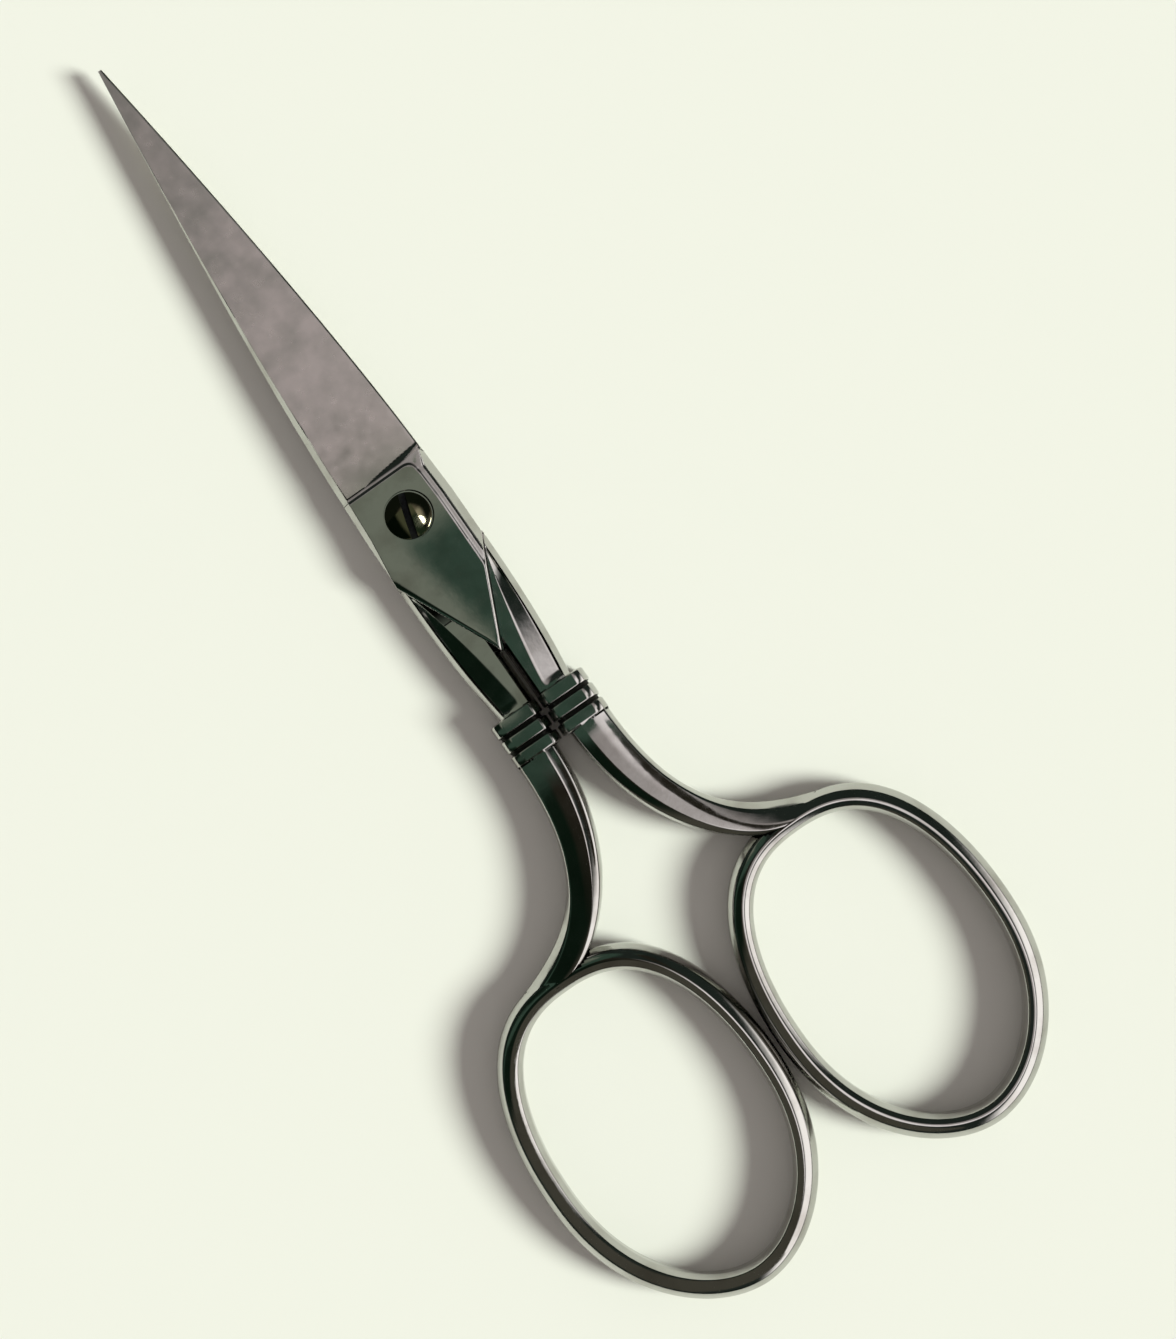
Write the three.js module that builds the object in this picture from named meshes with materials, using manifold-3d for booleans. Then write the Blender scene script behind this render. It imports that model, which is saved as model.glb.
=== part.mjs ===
// Sewing scissors, closed and lying flat. Millimetres, +Y to the tips, +X to the right, +Z up.
// The origin is the pivot axis, on the plane that the scissors rest on.
// Two forged halves cross at a slotted pivot screw. Both come from the same forging: each is
// modelled with its blade above the mid-plane and its handle to -X, and the lower half is that
// forging turned over about the long axis.
import * as THREE from "three";
import { mergeVertices } from "three/addons/utils/BufferGeometryUtils.js";
import Module from "manifold-3d";

const wasm = await Module();
wasm.setup();

// Height of the mid-plane, and half the height of handle, collar and ring
const halfHeight = 2.1;
// Half of the running gap between the two inner faces
const rideGap = 0.04;

// Blade: ground face from the shoulder to the tip
const tipReach = 51.5;
const shoulderReach = 4.6;
const tipHalfWidth = 0.19;
const spineHalfWidth = 4.66;
const edgeHalfWidth = 4.0;
const spineBow = 1.4;
const edgeBow = 1.5;
const spineThickness = 1.55;
const edgeThickness = 1.5;
const tipThickness = 0.45;
const edgeThinning = 1.5;
const edgeLand = 0.3;
const edgeBevel = 0.22;
const spineChamfer = 0.12;
const bladeSteps = 26;

// Ricasso plate with its V end
const plateEdgeThickness = 1.55;
const plateSpineThickness = 2.0;
const plateEdgeX = 4.25;
const plateCornerShare = 0.02;
const vHalfWidth = 4.85;
const vTop = 5.0;
const vReach = 15.5;
const vClearance = 0.12;
const vBevel = 0.1;
const spineDraft = 1.05;
const spineWall = 0.5;
const borderWidth = 0.5;
const borderDrop = 0.16;
const borderCorner = 0.9;
const shoulderRamp = 0.55;

// Fluted shank between the V and the collar
const shankInner = 0.6;
const shankOuterTop = 4.9;
const shankTaper = 0.9;
const shankTaperPower = 2.6;
const sideStrip = 0.58;
const fluteTop = 6.5;
const fluteInnerTop = 4.2;
const fluteInnerEnd = 1.4;
const flutePower = 1.3;
const fluteDepth = 0.24;
const fluteEndGap = 0.8;
const fluteTopScoop = 2.3;
const fluteEndScoop = 1.1;
const fluteSideShare = 0.3;
const borderFall = 0.12;
const leastFlute = 0.1;
const ridgeHeightTop = 1.4;
const ridgeHeightEnd = 1.9;
const innerFacetHeight = 1.1;
const sideHeight = 0.9;
const shankSteps = 22;

// Collar with three raised bands
const collarReach = 20.9;
const collarInner = 0.7;
const collarOuter = 5.25;
const bandLengths = [1.45, 1.4, 1.3];
const grooveWidth = 0.3;
const grooveDepth = 0.24;
const bandRound = 0.12;
const collarCorner = 0.7;
const cornerSteps = 4;

// Crested arm from the collar to the ring
const armInset = 0.1;
const armOuterDrop = 11.9;
const armInnerDrop = 11.4;
const armOuterRun = 8.5;
const armInnerRun = 5.9;
const armInnerRise = 0.7;
const crownShare = 0.15;
const armLandingScale = 0.95;
const armLandingAngle = 1.31;
const armSteps = 26;

// Finger ring: an oval that is fuller at its top than at its bottom
const ringCentreX = 13.3;
const ringCentreReach = 61.0;
const holeHalfWidth = 10.65;
const holeHalfLength = 15.55;
const barWidth = 2.45;
const topFullness = 2.4;
const bottomFullness = 1.95;
const ringEvening = 0.18;
const ringSteps = 84;

// Pivot screw
const headRadius = 2.25;
const headRim = 0.3;
const headDome = 0.22;
const headBreak = 0.05;
const recessRadius = 2.5;
const recessDepth = 0.3;
const headSeat = 0.03;
const screwRadius = 1.6;
const boreClearance = 0.08;
const threadClearance = 0.05;
const screwEndChamfer = 0.2;
const slotWidth = 0.62;
const slotDepth = 0.42;
const slotLean = THREE.MathUtils.degToRad(17);
const roundSteps = 48;

const collarEnd = collarReach + bandLengths.reduce((a, b) => a + b) + 2 * grooveWidth;
const faceSize = 400;

// A closed mesh becomes a solid; a mesh that came out inside out is turned first.
function solidOf(geometry) {
  const bare = geometry.clone();
  bare.deleteAttribute("normal");
  bare.deleteAttribute("uv");
  const merged = mergeVertices(bare, 1e-5);
  const points = new Float32Array(merged.attributes.position.array);
  const triangles = new Uint32Array(merged.index.array);
  const a = new THREE.Vector3();
  const b = new THREE.Vector3();
  const c = new THREE.Vector3();
  let volume = 0;
  for (let i = 0; i < triangles.length; i += 3) {
    a.fromArray(points, 3 * triangles[i]);
    b.fromArray(points, 3 * triangles[i + 1]);
    c.fromArray(points, 3 * triangles[i + 2]);
    volume += a.dot(b.cross(c));
  }
  if (volume < 0) {
    for (let i = 0; i < triangles.length; i += 3) {
      [triangles[i], triangles[i + 1]] = [triangles[i + 1], triangles[i]];
    }
  }
  return new wasm.Manifold(new wasm.Mesh({ numProp: 3, vertProperties: points, triVerts: triangles }));
}

function geometryOf(solid) {
  const mesh = solid.getMesh();
  const geometry = new THREE.BufferGeometry();
  geometry.setAttribute("position", new THREE.BufferAttribute(new Float32Array(mesh.vertProperties), 3));
  geometry.setIndex(new THREE.BufferAttribute(new Uint32Array(mesh.triVerts), 1));
  geometry.computeVertexNormals();
  return geometry;
}

// A skin over a row of sections, which are loops of equal count. An open row gets an end cap,
// fanned from the middle of its first and last section.
function loft(sections, closed = false) {
  const count = sections[0].length;
  const points = sections.flat();
  const index = [];
  const rows = closed ? sections.length : sections.length - 1;
  for (let i = 0; i < rows; i++) {
    const here = i * count;
    const next = ((i + 1) % sections.length) * count;
    for (let j = 0; j < count; j++) {
      const k = (j + 1) % count;
      index.push(here + j, here + k, next + k, here + j, next + k, next + j);
    }
  }
  if (!closed) {
    for (const [start, turned] of [[0, true], [(sections.length - 1) * count, false]]) {
      const middle = new THREE.Vector3();
      for (let j = 0; j < count; j++) middle.addScaledVector(points[start + j], 1 / count);
      points.push(middle);
      for (let j = 0; j < count; j++) {
        const pair = [start + j, start + ((j + 1) % count)];
        if (turned) pair.reverse();
        index.push(...pair, points.length - 1);
      }
    }
  }
  return new THREE.BufferGeometry().setFromPoints(points).setIndex(index);
}

function prism(outline, low, high) {
  const shape = new THREE.Shape(outline.map(([x, y]) => new THREE.Vector2(x, y)));
  const geometry = new THREE.ExtrudeGeometry(shape, { depth: high - low, bevelEnabled: false });
  return solidOf(geometry.translate(0, 0, low));
}

// Takes off all that lies on the outer side of a plane.
function planeCut(solid, point, outward) {
  const box = new THREE.BoxGeometry(faceSize, faceSize, faceSize).translate(0, 0, faceSize / 2);
  const turn = new THREE.Quaternion().setFromUnitVectors(
    new THREE.Vector3(0, 0, 1),
    outward.clone().normalize(),
  );
  box.applyQuaternion(turn).translate(point.x, point.y, point.z);
  return solid.subtract(solidOf(box));
}

function cylinder(radius, low, high) {
  const geometry = new THREE.CylinderGeometry(radius, radius, high - low, roundSteps);
  return solidOf(geometry.rotateX(Math.PI / 2).translate(0, 0, (low + high) / 2));
}

const vector = (x, y, z) => new THREE.Vector3(x, y, z);
const mix = THREE.MathUtils.lerp;

// Half width of the blade at a share of its length from the tip: nearly straight at first,
// then easing into the heel.
function bladeHalfWidth(share, heel, bow) {
  return tipHalfWidth + (heel - tipHalfWidth) * (1 - (1 - share) ** bow);
}

// Blade: flat inner face, ground outer face that falls from the spine to the cutting edge,
// a steep cutting bevel and a fine chamfer along the spine.
function blade() {
  const sections = [];
  const rootY = shoulderReach - shoulderRamp;
  for (let i = 0; i <= bladeSteps; i++) {
    const share = 1 - i / bladeSteps;
    const y = mix(tipReach, rootY, share);
    const spine = bladeHalfWidth(share, spineHalfWidth, spineBow);
    const edge = -bladeHalfWidth(share, edgeHalfWidth, edgeBow);
    const chamfer = Math.min(spineChamfer, spine / 3);
    const bevel = Math.min(edgeBevel, -edge / 3);
    const spineZ = rideGap + mix(tipThickness, spineThickness, share);
    const edgeZ = rideGap + mix(tipThickness, edgeThickness, share ** edgeThinning);
    sections.push([
      vector(edge, y, rideGap),
      vector(spine, y, rideGap),
      vector(spine, y, spineZ - chamfer),
      vector(spine - chamfer, y, spineZ),
      vector(edge + bevel, y, edgeZ),
      vector(edge, y, rideGap + edgeLand),
    ]);
  }
  return solidOf(loft(sections));
}

const plateTop = (x) => {
  const share = (x + edgeHalfWidth) / (edgeHalfWidth + spineHalfWidth);
  return rideGap + mix(plateEdgeThickness, plateSpineThickness, share);
};

// Ricasso plate: its face leans down to the cutting side, its spine side is drafted, and a
// narrow border falls away along the spine and the shoulder.
function plate() {
  const frontY = shoulderReach + shoulderRamp;
  const frontShare = (tipReach - frontY) / (tipReach - shoulderReach);
  const outline = [
    [edgeBevel - bladeHalfWidth(frontShare, edgeHalfWidth, edgeBow), frontY],
    [-edgeHalfWidth, shoulderReach],
    [-plateEdgeX, 0],
    [-vHalfWidth * (1 - plateCornerShare), -mix(vTop, vReach, plateCornerShare)],
    [0, -vReach],
    [vHalfWidth, -vTop],
    [spineHalfWidth, shoulderReach],
    [bladeHalfWidth(frontShare, spineHalfWidth, spineBow), frontY],
  ];
  let solid = prism(outline, rideGap, rideGap + 2 * plateSpineThickness);
  const tilt = (plateSpineThickness - plateEdgeThickness) / (edgeHalfWidth + spineHalfWidth);
  const faceNormal = vector(-tilt, 0, 1);
  solid = planeCut(solid, vector(0, 0, plateTop(0)), faceNormal);

  // Drafted spine side, from a short upright wall to the edge of the face
  const topX = spineHalfWidth - spineDraft;
  const draftRise = plateTop(topX) - rideGap - spineWall;
  solid = planeCut(solid, vector(topX, 0, plateTop(topX)), vector(draftRise, 0, spineDraft));

  // Border along the spine, round the corner and along the shoulder
  const borderSlope = borderDrop / borderWidth;
  const borderX = topX - borderWidth;
  const borderY = shoulderReach - borderWidth;
  const lean = (dx, dy) => vector(borderSlope * dx - tilt, borderSlope * dy, 1);
  solid = planeCut(solid, vector(borderX, 0, plateTop(borderX)), lean(1, 0));
  solid = planeCut(solid, vector(borderX, borderY, plateTop(borderX)), lean(0, 1));
  const cornerX = borderX - borderCorner / 2;
  const cornerY = borderY - borderCorner / 2;
  solid = planeCut(solid, vector(cornerX, cornerY, plateTop(cornerX)), lean(Math.SQRT1_2, Math.SQRT1_2));

  // Ramp at the shoulder, widest at the spine, where the blade lies lowest under the plate
  const rampDrop = plateTop(spineHalfWidth) - rideGap - spineThickness;
  solid = planeCut(
    solid,
    vector(-edgeHalfWidth, shoulderReach, plateTop(-edgeHalfWidth)),
    vector(-tilt, rampDrop / shoulderRamp, 1),
  );

  // Fine bevels along the two sides of the V
  const vSlope = (vReach - vTop) / vHalfWidth;
  for (const side of [-1, 1]) {
    const across = vector(side * vSlope, -1, 0).normalize();
    const point = vector(0, -vReach, 0).addScaledVector(across, -vBevel);
    point.z = plateTop(0);
    solid = planeCut(solid, point, across.add(vector(-tilt, 0, 1)));
  }
  return solid;
}

// Section of the shank at a reach down from the pivot, as (distance from the middle, height)
function shankProfile(reach) {
  const share = (reach - vTop) / (collarReach - vTop);
  const fluteLength = collarReach - fluteEndGap - fluteTop;
  const fluteShare = THREE.MathUtils.clamp((reach - fluteTop) / fluteLength, 0, 1);
  const outer = shankOuterTop - shankTaper * share ** shankTaperPower;
  const border = outer - sideStrip;
  const fluteInner = mix(fluteInnerEnd, fluteInnerTop, (1 - fluteShare) ** flutePower);
  const ridge = Math.min(fluteInner, border - leastFlute);
  const ridgeHeight = mix(ridgeHeightTop, ridgeHeightEnd, share);
  const fadeIn = Math.min(1, (fluteShare * fluteLength) / fluteTopScoop);
  const fadeOut = Math.min(1, ((1 - fluteShare) * fluteLength) / fluteEndScoop);
  const scoop = fluteDepth * fadeIn * fadeOut;
  const borderHeight = ridgeHeight - borderFall;
  return [
    [shankInner, innerFacetHeight],
    [ridge, ridgeHeight],
    [mix(ridge, border, fluteSideShare), ridgeHeight - scoop],
    [mix(border, ridge, fluteSideShare), borderHeight - scoop],
    [border, borderHeight],
    [outer, sideHeight],
  ];
}

// A profile and its mirror image below the mid-plane, as one loop at a given reach
function mirroredLoop(profile, reach) {
  const above = profile.map(([out, up]) => vector(-out, -reach, up));
  const below = profile.map(([out, up]) => vector(-out, -reach, -up)).reverse();
  return above.concat(below);
}

// Shank: as high below the mid-plane as above it, but cut clear of the other half's plate.
function shank() {
  const sections = [];
  for (let i = 0; i <= shankSteps; i++) {
    const reach = mix(vTop, collarReach + bandLengths[0] / 2, i / shankSteps);
    sections.push(mirroredLoop(shankProfile(Math.min(reach, collarReach)), reach));
  }
  const vDrop = (vClearance * Math.hypot(vHalfWidth, vReach - vTop)) / vHalfWidth;
  const aside = vHalfWidth + 2;
  const keepOut = prism(
    [
      [-aside, 0],
      [-aside, -vTop - vClearance],
      [-vHalfWidth, -vTop - vDrop],
      [0, -vReach - vDrop],
      [vHalfWidth, -vTop - vDrop],
      [aside, -vTop],
      [aside, 0],
    ],
    -2 * halfHeight,
    rideGap,
  );
  return solidOf(loft(sections)).subtract(keepOut);
}

// Loop of a box with rounded corners, drawn in on every side by an inset
function collarLoop(reach, inset) {
  const middle = (collarInner + collarOuter) / 2;
  const wide = (collarOuter - collarInner) / 2 - inset;
  const high = halfHeight - inset;
  const corner = Math.min(collarCorner, wide / 2, high / 2);
  const loop = [];
  for (let quarter = 0; quarter < 4; quarter++) {
    for (let i = 0; i <= cornerSteps; i++) {
      const angle = ((quarter + i / cornerSteps) * Math.PI) / 2;
      const sideX = quarter === 0 || quarter === 3 ? 1 : -1;
      const sideZ = quarter < 2 ? 1 : -1;
      const x = sideX * (wide - corner) + corner * Math.cos(angle);
      const z = sideZ * (high - corner) + corner * Math.sin(angle);
      loop.push(vector(-middle + x, -reach, z));
    }
  }
  return loop;
}

// Collar: three raised bands with narrow grooves between them
function collar() {
  const sections = [];
  let reach = collarReach;
  bandLengths.forEach((length) => {
    sections.push(collarLoop(reach, grooveDepth));
    sections.push(collarLoop(reach + bandRound / 2, bandRound));
    sections.push(collarLoop(reach + bandRound, 0));
    sections.push(collarLoop(reach + length - bandRound, 0));
    sections.push(collarLoop(reach + length - bandRound / 2, bandRound));
    sections.push(collarLoop(reach + length, grooveDepth));
    reach += length + grooveWidth;
  });
  return solidOf(loft(sections));
}

// Point of the ring's oval at an angle, for a given offset outwards from the edge of the hole.
// The oval is a superellipse, fuller above its middle than below it.
function ringPoint(angle, offset) {
  const c = Math.cos(angle);
  const s = Math.sin(angle);
  const power = 2 / (s > 0 ? topFullness : bottomFullness);
  return new THREE.Vector2(
    ringCentreX + (holeHalfWidth + offset) * Math.sign(c) * Math.abs(c) ** power,
    ringCentreReach - (holeHalfLength + offset) * Math.sign(s) * Math.abs(s) ** power,
  );
}

// Half of the ring bar's section, from the hole to the outside, as (share of the width, height)
const barProfile = [
  [0.0, 0.7],
  [0.1, 1.5],
  [0.33, halfHeight],
  [0.67, halfHeight],
  [0.9, 1.5],
  [1.0, 0.7],
];

// Finger ring: the bar's section carried round the oval
function ring() {
  const sections = [];
  for (let i = 0; i < ringSteps; i++) {
    const turn = (i / ringSteps) * 2 * Math.PI;
    const angle = turn - ringEvening * Math.sin(2 * turn);
    const above = barProfile.map(([share, up]) => {
      const at = ringPoint(angle, share * barWidth);
      return vector(-at.x, -at.y, up);
    });
    const below = above.map((p) => vector(p.x, p.y, -p.z)).reverse();
    sections.push(above.concat(below));
  }
  return solidOf(loft(sections, true));
}

// Half of the arm's section from its inner to its outer edge, as (share of the width, height)
const armProfile = [
  [0.0, 0.9],
  [0.2, 1.68],
  [0.58, 2.05],
  [0.9, 1.6],
  [1.0, 0.85],
];

// Arm: two plan curves leave the collar straight and land on the ring along its bar, and the
// crested section spans them.
function arm() {
  const tangent = (angle, offset) => {
    const step = 0.01;
    return ringPoint(angle - step, offset).sub(ringPoint(angle + step, offset)).normalize();
  };
  const landing = ringPoint(armLandingAngle, barWidth);
  const landingRun = tangent(armLandingAngle, barWidth).multiplyScalar(armOuterRun);
  const start = collarEnd - grooveDepth;
  const outer = new THREE.CubicBezierCurve(
    new THREE.Vector2(collarOuter - armInset, start),
    new THREE.Vector2(collarOuter - armInset, start + armOuterDrop),
    landing.clone().sub(landingRun),
    landing,
  );
  const crown = ringPoint(Math.PI / 2, crownShare * barWidth);
  const inner = new THREE.CubicBezierCurve(
    new THREE.Vector2(collarInner + armInset, start),
    new THREE.Vector2(collarInner + armInset, start + armInnerDrop),
    new THREE.Vector2(crown.x - armInnerRun, crown.y - armInnerRise),
    crown,
  );
  const sections = [];
  for (let i = 0; i <= armSteps; i++) {
    const t = i / armSteps;
    const from = inner.getPoint(t);
    const to = outer.getPoint(t);
    const scale = mix(1, armLandingScale, t ** 3);
    const above = armProfile.map(([share, up]) => {
      return vector(-mix(from.x, to.x, share), -mix(from.y, to.y, share), up * scale);
    });
    const below = above.map((p) => vector(p.x, p.y, -p.z)).reverse();
    sections.push(above.concat(below));
  }
  return solidOf(loft(sections));
}

const recessFloor = plateTop(0) - recessDepth;

// One half, with its mid-plane at height zero
function half(boreRadius) {
  let solid = blade().add(plate());
  for (const piece of [shank(), collar(), arm(), ring()]) solid = solid.add(piece);
  return solid.subtract(cylinder(boreRadius, -halfHeight, 2 * halfHeight));
}

function upperHalf() {
  const recess = cylinder(recessRadius, recessFloor, 2 * halfHeight);
  return half(screwRadius + boreClearance).subtract(recess);
}

// Screw: domed slotted head in the upper half's recess, shank through both plates, and a
// chamfered end that stands on the resting plane
function pivotScrew() {
  const headBase = halfHeight + recessFloor + headSeat;
  const profile = [
    [0, 0],
    [screwRadius - screwEndChamfer, 0],
    [screwRadius, screwEndChamfer],
    [screwRadius, headBase],
    [headRadius - headBreak, headBase],
    [headRadius, headBase + headBreak],
    [headRadius, headBase + headRim],
  ];
  const domeSteps = 6;
  for (let i = 1; i <= domeSteps; i++) {
    const share = i / domeSteps;
    profile.push([headRadius * (1 - share), headBase + headRim + headDome * (1 - (1 - share) ** 2)]);
  }
  const points = profile.map(([r, z]) => new THREE.Vector2(r, z));
  const body = new THREE.LatheGeometry(points, roundSteps).rotateX(Math.PI / 2);
  const top = headBase + headRim + headDome;
  const slot = new THREE.BoxGeometry(slotWidth, 4 * headRadius, 2 * slotDepth);
  slot.rotateZ(-slotLean).translate(0, 0, top);
  return solidOf(body).subtract(solidOf(slot));
}

const polishedSteel = new THREE.MeshStandardMaterial({ color: 0x9a9d98, roughness: 0.22, metalness: 1 });
const satinSteel = new THREE.MeshStandardMaterial({ color: 0x9d9996, roughness: 0.3, metalness: 1 });
const bronzedSteel = new THREE.MeshStandardMaterial({ color: 0x8c8060, roughness: 0.25, metalness: 1 });

function named(name, geometry, material) {
  const mesh = new THREE.Mesh(geometry, material);
  mesh.name = name;
  return mesh;
}

const group = new THREE.Group();

const upper = named("upper_half", geometryOf(upperHalf()), polishedSteel);
upper.position.z = halfHeight;
group.add(upper);

const lower = named("lower_half", geometryOf(half(screwRadius + threadClearance)), satinSteel);
lower.rotation.y = Math.PI;
lower.position.z = halfHeight;
group.add(lower);

group.add(named("pivot_screw", geometryOf(pivotScrew()), bronzedSteel));

export default group;
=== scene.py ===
import math

import bpy
import numpy as np
from mathutils import Matrix, Vector


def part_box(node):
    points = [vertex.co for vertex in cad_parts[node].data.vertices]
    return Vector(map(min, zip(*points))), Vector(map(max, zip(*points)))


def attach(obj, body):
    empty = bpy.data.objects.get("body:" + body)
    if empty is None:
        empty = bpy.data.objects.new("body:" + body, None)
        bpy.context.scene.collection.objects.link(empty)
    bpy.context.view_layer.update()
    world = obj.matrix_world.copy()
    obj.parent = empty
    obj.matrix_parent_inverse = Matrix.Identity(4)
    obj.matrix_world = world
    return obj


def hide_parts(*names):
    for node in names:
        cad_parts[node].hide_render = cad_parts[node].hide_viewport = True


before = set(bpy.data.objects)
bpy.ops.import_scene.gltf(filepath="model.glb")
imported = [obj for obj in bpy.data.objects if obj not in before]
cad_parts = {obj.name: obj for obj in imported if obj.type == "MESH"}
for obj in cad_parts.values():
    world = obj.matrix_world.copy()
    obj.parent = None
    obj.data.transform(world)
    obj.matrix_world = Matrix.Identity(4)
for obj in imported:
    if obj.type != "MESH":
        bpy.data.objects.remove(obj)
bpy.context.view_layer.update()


# Camera: it hangs level over the handles, turned so that the tips point to the upper left, and a
# small lens shift brings the whole object into the frame, as in the photograph.
mm = 0.001
low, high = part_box("upper_half")
mid_height = (low.z + high.z) / 2
tip_lean = math.radians(34.8)
frame_length = 127.2 * mm
frame_middle = Vector((5.62, -21.54, 0)) * mm
camera_foot = Vector((11.0, -32.0, 0)) * mm
camera_height = 260 * mm
sensor = 36.0
nearest_seen = 10 * mm

image_right = Vector((math.cos(tip_lean), -math.sin(tip_lean), 0))
image_up = Vector((math.sin(tip_lean), math.cos(tip_lean), 0))
camera = bpy.data.objects.new("camera", bpy.data.cameras.new("camera"))
bpy.context.scene.collection.objects.link(camera)
turn = Matrix((image_right, image_up, Vector((0, 0, 1)))).transposed()
camera.matrix_world = Matrix.Translation(camera_foot + Vector((0, 0, camera_height))) @ turn.to_4x4()
camera.data.sensor_width = sensor
camera.data.lens = sensor * (camera_height - mid_height) / frame_length
camera.data.shift_x = (frame_middle - camera_foot).dot(image_right) / frame_length
camera.data.shift_y = (frame_middle - camera_foot).dot(image_up) / frame_length
camera.data.clip_start = nearest_seen
bpy.context.scene.camera = camera


# Floor: a pale sheet that the scissors lie on.
floor_size = 6000 * mm
floor_colour = (0.87, 0.86, 0.795, 1)
floor_roughness = 0.9
floor_sheen = 0.1

floor_mesh = bpy.data.meshes.new("floor")
half_floor = floor_size / 2
floor_mesh.from_pydata(
    [(x * half_floor, y * half_floor, 0) for x, y in [(-1, -1), (1, -1), (1, 1), (-1, 1)]],
    [],
    [(0, 1, 2, 3)],
)
floor = bpy.data.objects.new("floor", floor_mesh)
bpy.context.scene.collection.objects.link(floor)
floor_paint = bpy.data.materials.new("pale_sheet")
floor_paint.use_nodes = True
floor_shader = floor_paint.node_tree.nodes["Principled BSDF"]
floor_shader.inputs["Base Color"].default_value = floor_colour
floor_shader.inputs["Roughness"].default_value = floor_roughness
floor_shader.inputs["Specular IOR Level"].default_value = floor_sheen
floor_mesh.materials.append(floor_paint)


# Light: a soft lamp low on the right lights the floor. The metal mirrors a room instead, with a
# window on that side, a ceiling, and walls that are dark down to the horizon. A flat dark card and
# a strip over the handles are seen in mirrors only, and a narrow lamp gives the screw its gleam.
lamp_turn = math.radians(8)
lamp_elevation = math.radians(33)
lamp_softness = math.radians(20)
lamp_strength = 4.53
lamp_colour = (0.93, 1.0, 0.92)
window_azimuth = math.radians(-46)
window_side = (0.55, 0.80)
window_colour = (1.70, 1.62, 1.60, 1)
room_colour = (0.022, 0.030, 0.025, 1)
ceiling_azimuth = math.radians(-63)
ceiling_side = (-0.04, 0.14)
ceiling_far = (0.50, 0.455, 0.45, 1)
ceiling_near = (1.35, 1.26, 1.28, 1)
ceiling_starts = (0.84, 0.94)
horizon_ends = (0.02, 0.22)
glint_azimuth = math.radians(-50)
glint_zenith = math.radians(22)
glint_width = math.radians(19)
glint_strength = 1.9
glint_colour = (0.86, 0.88, 1.0)
backdrop_colour = (0.87, 0.90, 0.75, 1)
fill_colour = (0.30, 0.28, 0.275, 1)
card_height = 22 * mm
card_outline = [
    (-75, 9), (-75, -120), (-3, -120), (-3, -64),
    (-0.5, -44), (-0.5, -26.4), (5, -25.8), (6.5, 9),
]
strip_outline = [(9.5, -26), (9.5, -46), (14, -46), (14, -26)]
card_olive = (0.085, 0.080, 0.062, 1)
card_black = (0.006, 0.014, 0.008, 1)
card_brown = (0.027, 0.024, 0.017, 1)
card_grey = (0.25, 0.275, 0.22, 1)
card_green = (0.052, 0.093, 0.068, 1)
card_pale = (0.72, 0.68, 0.68, 1)
olive_ends = (-50 * mm, -42 * mm)
brown_starts = (-10 * mm, -3 * mm)
arms_end = (-29 * mm, -26 * mm)
grey_starts_y = (-22 * mm, -18 * mm)
grey_starts_x = (-11 * mm, -7 * mm)
green_turn = 0.17
green_starts = (-5.8 * mm, -3.8 * mm)
green_ends = (-2 * mm, 2.5 * mm)


def feed(tree, made, sockets):
    """Sets inputs of a node, each to a plain value or to another node's output."""
    for socket, value in sockets:
        if isinstance(value, bpy.types.NodeSocket):
            tree.links.new(value, made.inputs[socket])
        else:
            made.inputs[socket].default_value = value


def node(tree, kind, *sockets, **values):
    """A node with its inputs set, as pairs of number and value or as names with values."""
    made = tree.nodes.new(kind)
    feed(tree, made, sockets)
    feed(tree, made, [(key.replace("_", " "), value) for key, value in values.items()])
    return made


def eased(tree, value, span):
    """Nought below a span of values and one above it. In between it eases: three times the share
    squared, less twice the share cubed."""
    ease = node(tree, "ShaderNodeMapRange", Value=value, From_Min=span[0], From_Max=span[1])
    ease.interpolation_type = "SMOOTHSTEP"
    return ease.outputs["Result"]


def mixed(tree, factor, first, second):
    """A colour between two others, in a straight line by the factor."""
    mix = tree.nodes.new("ShaderNodeMix")
    mix.data_type = "RGBA"
    feed(tree, mix, [("Factor", factor), ("A", first), ("B", second)])
    return mix.outputs["Result"]


lamp_side = image_right * math.cos(lamp_turn) - image_up * math.sin(lamp_turn)
lamp_from = lamp_side * math.cos(lamp_elevation) + Vector((0, 0, math.sin(lamp_elevation)))
lamp = bpy.data.objects.new("lamp", bpy.data.lights.new("lamp", "SUN"))
bpy.context.scene.collection.objects.link(lamp)
lamp.data.angle = lamp_softness
lamp.data.energy = lamp_strength
lamp.data.color = lamp_colour
lamp.visible_glossy = False
lamp.matrix_world = lamp_from.to_track_quat("Z", "Y").to_matrix().to_4x4()

glint = bpy.data.objects.new("window_gleam", bpy.data.lights.new("window_gleam", "SUN"))
bpy.context.scene.collection.objects.link(glint)
glint_level = math.sin(glint_zenith)
glint_side = Vector((math.cos(glint_azimuth), math.sin(glint_azimuth), 0))
glint_from = glint_side * glint_level + Vector((0, 0, math.cos(glint_zenith)))
glint.data.angle = glint_width
glint.data.energy = glint_strength
glint.data.color = glint_colour
glint.visible_diffuse = False
glint.matrix_world = glint_from.to_track_quat("Z", "Y").to_matrix().to_4x4()

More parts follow.
